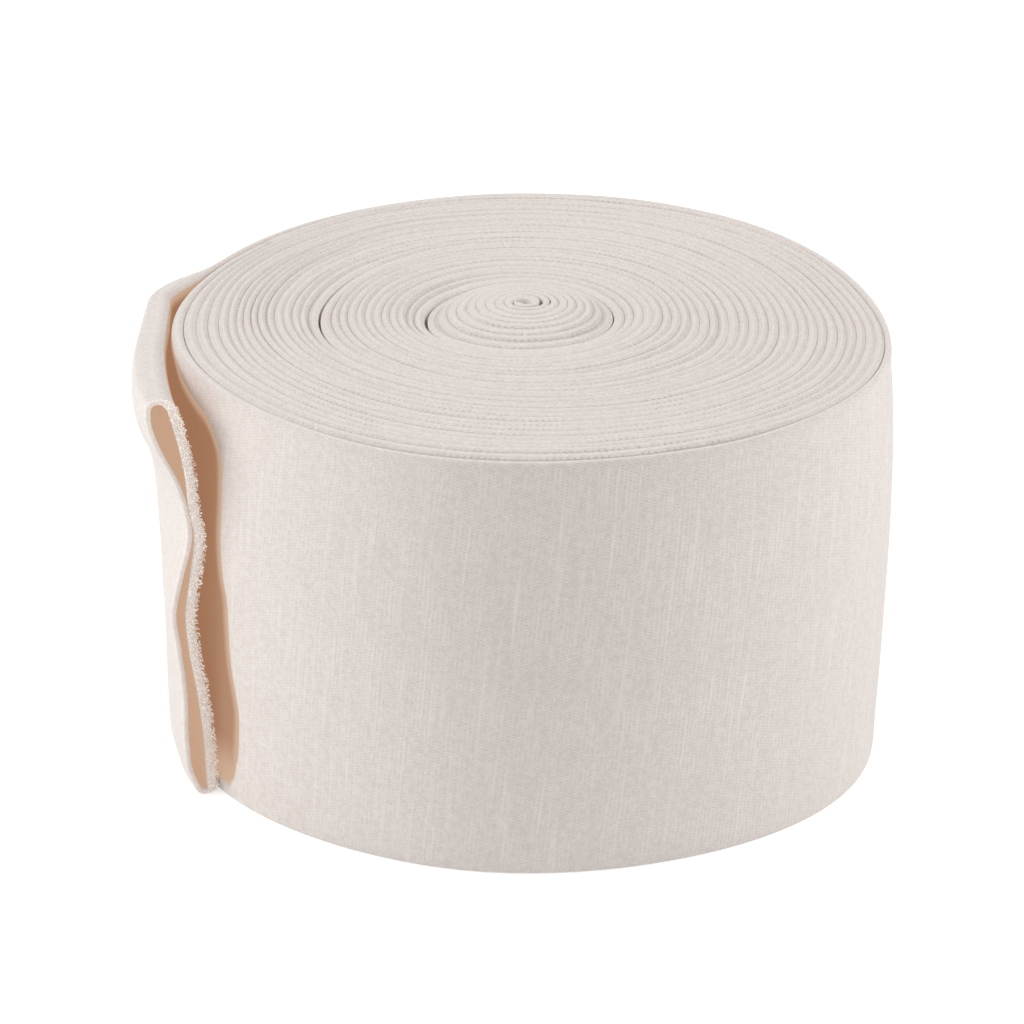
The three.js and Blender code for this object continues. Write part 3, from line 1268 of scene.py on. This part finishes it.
@dataclass(frozen=True)
class StitchRows:
    """Rows of small dark stitches beside the folds, clearest at the front and the back."""

    pitch: float = 1.45
    from_crest: float = 1.15
    run: float = 5.0
    zones: float = 60.0
    least: float = 0.25
    # between these the stitches come into sight
    beside: tuple[float, float] = (0.5, 0.1)
    dots: tuple[float, float] = (0.55, 0.9)
    runs: tuple[float, float] = (0.38, 0.52)
    areas: tuple[float, float] = (0.4, 0.6)
    turned: tuple[float, float] = (0.1, 0.55)
    smallest_square: float = 0.00002

    def darkness(self, tree: ClothTree, along: Wire, fold: Wire) -> Wire:
        """Lay the stitches out.

        Args:
            tree: The material's nodes.
            along: Length along the tube.
            fold: Distance from the crest of the fold.

        Returns:
            The stitches' darkness, from 0 to 1.
        """
        place = tree.object_place()
        x, y = tree.parts(place)
        turned = tree.ease(y * y / (x * x + y * y + self.smallest_square), *self.turned)
        zone = tree.ease(tree.noise(place, self.zones, 1.0), *self.areas)
        beside = tree.ease(tree.maths("ABSOLUTE", fold - self.from_crest), *self.beside)
        dot = tree.ease(tree.cosine(along / self.pitch), *self.dots)
        kept = tree.ease(tree.noise(tree.place(along / self.run)), *self.runs)
        return dot * beside * kept * (self.least + (1.0 - self.least) * zone) * turned


@dataclass(frozen=True)
class KnitCloth:
    """The knitted elastic cloth: faint broken ribs across the tube and fine rows along it."""

    name: str = "knit_cloth"
    cloth: tuple[float, ...] = linear(212, 205, 201)
    hollow: tuple[float, ...] = linear(197, 188, 182)
    # pale: the knit's pale lines, and also a painted highlight on the crest of the top fold
    pale: tuple[float, ...] = linear(226, 220, 216)
    stitch: tuple[float, ...] = linear(174, 162, 154)
    # Painted shade and painted glow: the dark colour below goes into the hollow of the mouth and the
    # gap beside the loose end, and the glows that follow are painted light that gives their shade its
    # tan tone; the last one lights the mouth's cut edge.
    painted_shade_base: tuple[float, ...] = linear(82, 68, 56)
    painted_hollow_glow: tuple[float, ...] = linear(190, 156, 130)
    painted_gap_rim_glow: tuple[float, ...] = linear(188, 155, 130)
    painted_deep_gap_glow: tuple[float, ...] = linear(154, 110, 82)
    painted_edge_glow: tuple[float, ...] = linear(116, 110, 105)
    stitches: StitchRows = StitchRows()
    stitched: float = 0.6
    crest_at: float = 100.0
    rib_pitch: float = 1.03
    row_pitch: float = 0.72
    slant: float = -0.1
    drift_reach: float = 1.8
    least_row: float = 0.35
    drift: Spots = Spots(9.0, 34.0)
    rib_felt: Spots = Spots(5.0, 11.0)
    row_felt: Spots = Spots(3.0, 3.5)
    pale_line: Spots = Spots(1.1, 30.0, 1.0)
    grain: Spots = Spots(0.62, 0.5)
    speck: Spots = Spots(1.5, 1.7)
    patch: Spots = Spots(26.0, 20.0, 3.0)
    # between these the named part comes into sight
    fold_over: tuple[float, float] = (3.2, 1.6)
    crest_highlight_over: tuple[float, float] = (0.75, 0.1)
    rib_over: tuple[float, float] = (0.3, 0.72)
    line_over: tuple[float, float] = (0.5, 0.85)
    tone_over: tuple[float, float] = (0.52, 1.12)
    # the next four mask the painted shade and painted glow of the hollow, the mouth's edge and the gap
    hollow_over: tuple[float, float] = (-0.15, 0.35)
    edge_over: tuple[float, float] = (-1.2, -0.5)
    gap_over: tuple[float, float] = (-0.3, 0.3)
    deep_over: tuple[float, float] = (0.5, 2.8)
    # part of the knit, its share of the tone
    tone_shares: tuple[tuple[str, float], ...] = (
        ("rib", 0.14),
        ("row", 0.3),
        ("grain", 0.8),
        ("speck", 0.6),
    )
    # part of the knit, its share of the relief
    relief_shares: tuple[tuple[str, float], ...] = (
        ("rib", 0.4),
        ("row", 0.35),
        ("grain", 0.8),
        ("speck", 0.4),
        ("line", 0.3),
    )
    rib_lost_on_fold: float = 0.7
    # painted highlight: how much paler the crest of the top fold is painted
    painted_crest_highlight: float = 0.12
    pale_lines: float = 0.36
    patchiness: float = 0.03
    glow_grain: float = 0.14
    face_tone: float = 0.92
    tone: float = 1.0
    bump: float = 0.00013
    bump_strength: float = 0.6
    roughness: float = 0.95

    def material(self) -> bpy.types.Material:
        """Build the material on the cloth's own coordinates.

        Returns:
            The material.
        """
        tree = ClothTree(self.name)
        along, across = tree.parts(tree.wire("ShaderNodeUVMap", {"uv_map": CLOTH_MAP}))
        fold = tree.maths("ABSOLUTE", across - self.crest_at)
        on_fold = tree.ease(fold, *self.fold_over)
        parts = self.knit(tree, along, across, on_fold)
        dark = self.stitches.darkness(tree, along, fold) * on_fold * self.stitched

        toned = tree.ease(tree.weighed(self.tone_shares, parts), *self.tone_over)
        colour = tree.mix(toned, self.hollow, self.cloth)
        # painted highlight along the crest of the top fold
        crest = tree.ease(fold, *self.crest_highlight_over)
        colour = tree.mix(crest * self.painted_crest_highlight, colour, self.pale)
        colour = tree.mix(parts["line"] * (1.0 - on_fold) * self.pale_lines, colour, self.pale)
        colour = tree.mix(dark, colour, self.stitch)
        face = 1.0 - on_fold * (1.0 - self.face_tone)
        patch = tree.spots(along, across, self.patch)
        patched = 1.0 - self.patchiness / 2.0 + self.patchiness * patch
        colour = tree.scaled(colour, patched * face * self.tone)

        # painted shade and painted glow in the hollow and in the gap beside the loose end
        colour, glow = self.shade(tree, colour)
        glow = tree.scaled(glow, 1.0 - self.glow_grain / 2.0 + self.glow_grain * parts["grain"])
        relief = tree.weighed(self.relief_shares, parts) - dark
        sockets = {"Strength": self.bump_strength, "Distance": self.bump, "Height": relief}
        sockets = {
            "Base Color": colour,
            "Roughness": self.roughness,
            "Specular IOR Level": 0.2,
            "Sheen Weight": 0.1,
            "Sheen Roughness": 0.5,
            "Normal": tree.wire("ShaderNodeBump", {}, sockets),
            "Emission Color": glow,
            "Emission Strength": 1.0,
        }
        return tree.finish(sockets, sampled=False)

    def knit(self, tree: ClothTree, along: Wire, across: Wire, on_fold: Wire) -> dict[str, Wire]:
        """Lay out the parts of the knit.

        Args:
            tree: The material's nodes.
            along: Length along the tube.
            across: Length round the tube.
            on_fold: How near a place is to the top fold.

        Returns:
            Each part, from 0 to 1, by its name.
        """
        drift = tree.spots(along, across, self.drift) - 0.5
        drawn = along + across * self.slant + drift * self.drift_reach
        rib_felt = tree.ease(tree.spots(along, across, self.rib_felt), *self.rib_over)
        row_felt = self.least_row + (1.0 - self.least_row) * tree.spots(along, across, self.row_felt)
        rib_count = tree.maths("FLOOR", drawn / self.rib_pitch)
        parity = tree.maths("MODULO", rib_count, 2.0) * 0.5
        rib = tree.cosine(drawn / self.rib_pitch)
        return {
            "rib": rib * rib_felt * (1.0 - self.rib_lost_on_fold * on_fold),
            "row": tree.cosine(across / self.row_pitch + parity) * row_felt,
            "line": tree.ease(tree.spots(drawn, across, self.pale_line), *self.line_over),
            "grain": tree.spots(along, across, self.grain),
            "speck": tree.spots(along, across, self.speck),
        }

    def shade(self, tree: ClothTree, colour: Wire) -> tuple[Wire, Wire]:
        """Paint shade into the two shaded places by darkening their colour, and give them a painted
        glow in place of the light that comes through the cloth.

        Args:
            tree: The material's nodes.
            colour: Colour of the cloth in full light.

        Returns:
            The colour with its painted shade, and the painted glow.
        """
        hollow, gap = (tree.trait(place.value) for place in (Shaded.HOLLOW, Shaded.GAP))
        in_hollow = tree.ease(hollow, *self.hollow_over)
        in_gap = tree.ease(gap, *self.gap_over)
        # painted shade: the colour in both shaded places is darkened
        colour = tree.mix(tree.maths("MAXIMUM", in_hollow, in_gap), colour, self.painted_shade_base)
        # painted light: a glow brightens the mouth's cut edge, which the lamps leave unlit
        glow = tree.mix(tree.ease(hollow, *self.edge_over), BLACK, self.painted_edge_glow)
        # painted glow in the hollow and the gap, in place of the tan light in their shade
        glow = tree.mix(in_hollow, glow, self.painted_hollow_glow)
        glow = tree.mix(in_gap, glow, self.painted_gap_rim_glow)
        return colour, tree.mix(tree.ease(gap, *self.deep_over), glow, self.painted_deep_gap_glow)


@dataclass(frozen=True)
class FrayYarn:
    """The bare yarn that stands out of the cut edge."""

    name: str = "fray_yarn"
    colour: tuple[float, ...] = linear(234, 229, 224)
    shadow: tuple[float, ...] = linear(220, 213, 207)
    # painted light: a glow that brightens the yarns as if they caught the light
    glow: tuple[float, ...] = linear(130, 124, 120)
    spots: float = 900.0
    spots_over: tuple[float, float] = (0.35, 0.65)
    roughness: float = 0.95

    def material(self) -> bpy.types.Material:
        """Build the material on Object coordinates.

        Returns:
            The material.
        """
        tree = ClothTree(self.name)
        tone = tree.ease(tree.noise(tree.object_place(), self.spots, 3.0), *self.spots_over)
        sockets = {
            "Base Color": tree.mix(tone, self.shadow, self.colour),
            "Roughness": self.roughness,
            "Specular IOR Level": 0.2,
            "Emission Color": self.glow,
            "Emission Strength": 1.0,
        }
        return tree.finish(sockets, sampled=False)


class YarnTree(NodeBench):
    """Geometry Nodes that set short bent yarns along an edge."""

    def __init__(self, name: str, inputs: dict[str, tuple[str, object]]) -> None:
        """Start a tree with named inputs.

        Args:
            name: Name of the tree.
            inputs: Socket type and value of each input, by name.
        """
        super().__init__(bpy.data.node_groups.new(name, "GeometryNodeTree"))
        face = self.tree.interface
        face.new_socket("Geometry", in_out="INPUT", socket_type="NodeSocketGeometry")
        face.new_socket("Geometry", in_out="OUTPUT", socket_type="NodeSocketGeometry")
        self.settings = {}
        for key, (kind, value) in inputs.items():
            socket = face.new_socket(key, in_out="INPUT", socket_type=kind)
            self.settings[socket.identifier] = value
        self.entry = self.tree.nodes.new("NodeGroupInput")

    def given(self, name: str) -> Wire:
        """One of the tree's inputs."""
        return Wire(self, self.entry.outputs[name])

    def trait(self, name: str, kind: str = "FLOAT_VECTOR") -> Wire:
        """A value that the points carry."""
        node = self.node("GeometryNodeInputNamedAttribute", {"data_type": kind}, {"Name": name})
        return Wire(self, node.outputs["Attribute"])

    def chance(self, between: tuple[float, float], salt: int) -> Wire:
        """A random number for each point.

        Args:
            between: The least and the most.
            salt: What sets this draw apart from the others.

        Returns:
            The number.
        """
        sockets = {2: between[0], 3: between[1], "Seed": self.given("Seed") + float(salt)}
        return self.wire("FunctionNodeRandomValue", {"data_type": "FLOAT"}, sockets, 1)

    def apply(self, line: bpy.types.Object, geometry: Wire) -> bpy.types.Object:
        """Run the tree on an object and leave a plain mesh.

        Args:
            line: The object that the tree starts from.
            geometry: What the tree gives.

        Returns:
            The same object with the result as its mesh.
        """
        self.node("NodeGroupOutput", {}, {"Geometry": geometry})
        modifier = line.modifiers.new(self.tree.name, "NODES")
        modifier.node_group = self.tree
        for key, value in self.settings.items():
            modifier[key] = value
        graph = bpy.context.evaluated_depsgraph_get()
        made = bpy.data.meshes.new_from_object(line.evaluated_get(graph), depsgraph=graph)
        line.modifiers.remove(modifier)
        made.name = line.name
        line.data = made
        return line


@dataclass
class FrayedEdge:
    """The loops and loose ends of yarn that stand out of the tube's cut mouth."""

    mouth: OuterTurn
    yarn: FrayYarn = FrayYarn()
    name: str = "frayed_edge"
    spacing: float = 0.042
    length: float = 0.9
    radius: float = 0.08
    inner_density: float = 1.0
    outer_density: float = 0.12
    # between these a yarn is moved across the edge, and along the tube
    moved_across: tuple[float, float] = (-0.8, 1.35)
    moved_ahead: tuple[float, float] = (-0.45, -0.1)
    # between these a yarn leans across the edge, and up
    leaning: tuple[float, float] = (-0.4, 0.4)
    rising: tuple[float, float] = (-0.7, 0.7)
    lean_with_place: float = 0.4
    sizes: tuple[float, float] = (0.55, 1.0)
    least_size: float = 0.45
    # shares of the half thickness between which the yarns become fewer
    fewer: tuple[float, float] = (-0.9, 0.3)
    # shares of the length: aside and up at the bend, and aside at the tip
    bend: tuple[float, float, float] = (0.45, 0.75, -0.12)
    facets: int = 4
    seed: int = 7

    def line(self) -> bpy.types.Object:
        """The mouth's edge as a closed line that carries where the yarns point.

        Returns:
            The line, with the directions and the density at its points.
        """
        share = self.mouth.section.places()[:, 0]
        points = self.mouth.edge
        count = len(points)
        edges = [(index, (index + 1) % count) for index in range(count)]
        mesh = bpy.data.meshes.new(self.name)
        mesh.from_pydata((points * MM).tolist(), edges, [])
        for trait, values in (("ahead", self.mouth.edge_ahead), ("across", self.mouth.edge_across)):
            written = mesh.attributes.new(trait, "FLOAT_VECTOR", "POINT")
            written.data.foreach_set("vector", values.astype(np.float32).ravel())
        weight = blend(self.inner_density, self.outer_density, smooth_step(share, *self.fewer))
        written = mesh.attributes.new("weight", "FLOAT", "POINT")
        written.data.foreach_set("value", weight.astype(np.float32))
        return add_object(self.name, mesh)

    def build(self) -> bpy.types.Object:
        """Scatter the yarns along the edge.

        Returns:
            The piece.
        """
        inputs = {
            "Spacing": ("NodeSocketFloat", self.spacing * MM),
            "Length": ("NodeSocketFloat", self.length * MM),
            "Radius": ("NodeSocketFloat", self.radius * MM),
            "Seed": ("NodeSocketInt", self.seed),
            "Yarn": ("NodeSocketMaterial", self.yarn.material()),
        }
        tree = YarnTree("fray_along_edge", inputs)
        edge = tree.wire("GeometryNodeMeshToCurve", {}, {"Mesh": tree.given("Geometry")})
        sockets = {"Curve": edge, "Length": tree.given("Spacing")}
        edge = tree.wire("GeometryNodeResampleCurve", {"mode": "LENGTH"}, sockets)
        ahead, across = tree.trait("ahead"), tree.trait("across")
        aside = tree.chance(self.moved_across, 1)
        onward = tree.scaled(ahead, tree.chance(self.moved_ahead, 2) * MM)
        shift = tree.summed(tree.scaled(across, aside * MM), onward)
        edge = tree.wire("GeometryNodeSetPosition", {}, {"Geometry": edge, "Offset": shift})
        weight = tree.trait("weight", "FLOAT")
        settings = {"data_type": "FLOAT", "operation": "LESS_THAN"}
        chosen = {0: tree.chance((0.0, 1.0), 3), 1: weight}
        sockets = {
            "Points": edge,
            "Selection": tree.wire("FunctionNodeCompare", settings, chosen),
            "Instance": self.loop(tree),
            "Rotation": self.turned(tree, ahead, across, aside),
            "Scale": tree.chance(self.sizes, 7) * (self.least_size + (1.0 - self.least_size) * weight),
        }
        yarns = tree.wire("GeometryNodeInstanceOnPoints", {}, sockets)
        yarns = tree.wire("GeometryNodeRealizeInstances", {}, {"Geometry": yarns})
        sockets = {"Geometry": yarns, "Material": tree.given("Yarn")}
        piece = tree.apply(self.line(), tree.wire("GeometryNodeSetMaterial", {}, sockets))
        for trait in ("ahead", "across", "weight"):
            if trait in piece.data.attributes:
                piece.data.attributes.remove(piece.data.attributes[trait])
        piece.data.shade_smooth()
        return piece

    def turned(self, tree: YarnTree, ahead: Wire, across: Wire, aside: Wire) -> Wire:
        """Turn each yarn out of the mouth, and at random about itself.

        Args:
            tree: The nodes.
            ahead: The way in which the tube runs.
            across: The way from the hollow to the outside.
            aside: How far the yarn is moved across the edge.

        Returns:
            The rotation.
        """
        leaning = aside * self.lean_with_place + tree.chance(self.leaning, 4)
        points_to = tree.summed(ahead, tree.scaled(across, leaning))
        points_to = tree.summed(points_to, tree.place(z=tree.chance(self.rising, 5)))
        turned = tree.wire("FunctionNodeAlignRotationToVector", {"axis": "Z"}, {"Vector": points_to})
        spin = tree.place(z=tree.chance((0.0, math.tau), 6))
        spun = tree.wire("FunctionNodeEulerToRotation", {}, {0: spin})
        settings = {"rotation_space": "LOCAL"}
        return tree.wire("FunctionNodeRotateRotation", settings, {0: turned, 1: spun})

    def loop(self, tree: YarnTree) -> Wire:
        """One bent yarn, standing along Z.

        Args:
            tree: The nodes.

        Returns:
            The mesh of the yarn.
        """
        length = tree.given("Length")
        aside, lift, tip = self.bend
        middle = tree.place(length * aside, 0.0, length * lift)
        end = tree.place(length * tip, 0.0, length)
        sockets = {"Resolution": self.facets, "Middle": middle, "End": end}
        sockets["Start"] = (0.0, 0.0, 0.0)
        path = tree.wire("GeometryNodeCurveQuadraticBezier", {}, sockets)
        sockets = {"Resolution": self.facets, "Radius": tree.given("Radius")}
        ring = tree.wire("GeometryNodeCurvePrimitiveCircle", {"mode": "RADIUS"}, sockets)
        sockets = {"Curve": path, "Profile Curve": ring, "Fill Caps": True}
        return tree.wire("GeometryNodeCurveToMesh", {}, sockets)


@dataclass(frozen=True)
class Camera:
    """The camera at the photograph's viewing angle."""

    focal: float = 5296.0
    frame: float = 1024.0
    film: float = 36.0
    unit: float = 162.3
    distance: float = 7.43
    right: float = 0.033
    up: float = 0.273
    elevation: float = 23.5
    aim_level: float = 100.0
    clip: tuple[float, float] = (0.05, 20.0)

    def build(self) -> None:
        """Place the camera and make it the scene's own."""
        data = bpy.data.cameras.new("view_camera")
        data.sensor_width = self.film
        data.lens = self.focal / self.frame * self.film
        data.clip_start, data.clip_end = self.clip
        tilt = math.radians(self.elevation)
        forward = Vector((0.0, math.cos(tilt), -math.sin(tilt)))
        upward = Vector((0.0, math.sin(tilt), math.cos(tilt)))
        across = Vector((1.0, 0.0, 0.0))
        place = Vector((0.0, 0.0, self.aim_level))
        place -= self.unit * (self.right * across + self.up * upward + self.distance * forward)
        camera = add_object("view_camera", data)
        turned = Matrix((across, upward, -forward)).transposed()
        camera.matrix_world = Matrix.Translation(place * MM) @ turned.to_4x4()
        bpy.context.scene.camera = camera


@dataclass(frozen=True)
class Softbox:
    """One soft light, in metres."""

    name: str
    place: tuple[float, float, float]
    aim: tuple[float, float, float]
    size: float
    power: float

    def build(self) -> None:
        """Add the light, turned towards its aim."""
        data = bpy.data.lights.new(self.name, "AREA")
        data.shape = "DISK"
        data.size = self.size
        data.energy = self.power
        light = add_object(self.name, data)
        place = Vector(self.place)
        turn = (Vector(self.aim) - place).to_track_quat("-Z", "Y")
        light.matrix_world = Matrix.Translation(place) @ turn.to_matrix().to_4x4()


@dataclass(frozen=True)
class Studio:
    """The pale floor, the even surroundings and the soft lights."""

    floor_size: float = 6.0
    surround: float = 0.46
    floor_lift: float = 0.56
    floor_tones: tuple[tuple[float, ...], ...] = ((0.59, 0.59, 0.59, 1.0), (0.61, 0.61, 0.61, 1.0))
    lights: tuple[Softbox, ...] = (
        Softbox("light_left", (-1.75, -0.12, 1.35), (0.0, 0.0, 0.05), size=1.4, power=41.5),
        Softbox("light_right", (1.75, -0.12, 1.35), (0.0, 0.0, 0.05), size=1.4, power=34.0),
    )

    def build(self) -> None:
        """Make the floor, the world and the lights."""
        half = self.floor_size / 2.0
        mesh = bpy.data.meshes.new("floor")
        signs = ((-1, -1), (1, -1), (1, 1), (-1, 1))
        corners = [(x * half, y * half, 0.0) for x, y in signs]
        mesh.from_pydata(corners, [], [(0, 1, 2, 3)])
        floor = add_object("floor", mesh)
        mesh.materials.append(self.floor_material())
        world = bpy.data.worlds.new("surroundings")
        world.use_nodes = True
        background = world.node_tree.nodes["Background"]
        background.inputs["Color"].default_value = WHITE
        background.inputs["Strength"].default_value = self.surround
        bpy.context.scene.world = world
        for light in self.lights:
            light.build()

    def floor_material(self) -> bpy.types.Material:
        """A plain pale matt floor.

        Returns:
            The material.
        """
        tree = ClothTree("pale_floor")
        tone = tree.noise(tree.object_place(), 3.0, 2.0)
        sockets = {
            "Base Color": tree.mix(tone, *self.floor_tones),
            "Roughness": 0.9,
            "Emission Color": WHITE,
            "Emission Strength": self.floor_lift,
        }
        return tree.finish(sockets)


def dress(piece: bpy.types.Object, material: bpy.types.Material | None = None) -> None:
    """Give a piece its body and, where it has none, its material, and report it.

    Args:
        piece: The piece.
        material: Its material, or nothing where the piece brings its own.
    """
    if material is not None:
        piece.data.materials.append(material)
    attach(piece, BODY)
    count = sum(len(face.vertices) - 2 for face in piece.data.polygons)
    log.info("%s: %d triangles", piece.name, count)


def main() -> None:
    """Build the roll in the order in which it is wound, and set the studio round it."""
    logging.basicConfig(level=logging.INFO, format="%(message)s")
    bpy.context.scene.view_settings.view_transform = "Standard"
    Camera().build()
    Studio().build()
    winding = Winding()
    cloth = KnitCloth()
    # painted shade: the outermost turn and the loose end take a copy of the cloth without stitches,
    # darkened by its tone
    outermost = replace(cloth, name="knit_cloth_outermost", stitched=0.0, face_tone=1.0, tone=0.945)

    inner = InnerTurns(winding)
    inner_piece = inner.build()
    dress(inner_piece, cloth.material())
    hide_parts("wound_roll")

    outer = OuterTurn(winding)
    outer_piece = outer.build()
    dress(outer_piece, outermost.material())
    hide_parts("loose_end")

    fray_piece = FrayedEdge(outer).build()
    dress(fray_piece)

    wound = float(winding.along(np.array([inner.stations()[-1]]))[0]) * MM
    begin = winding.turn_at(outer.start_bearing, turns_in=1)
    reached = winding.along(np.array([begin, float(winding.turns)]))


if __name__ == "__main__":
    main()
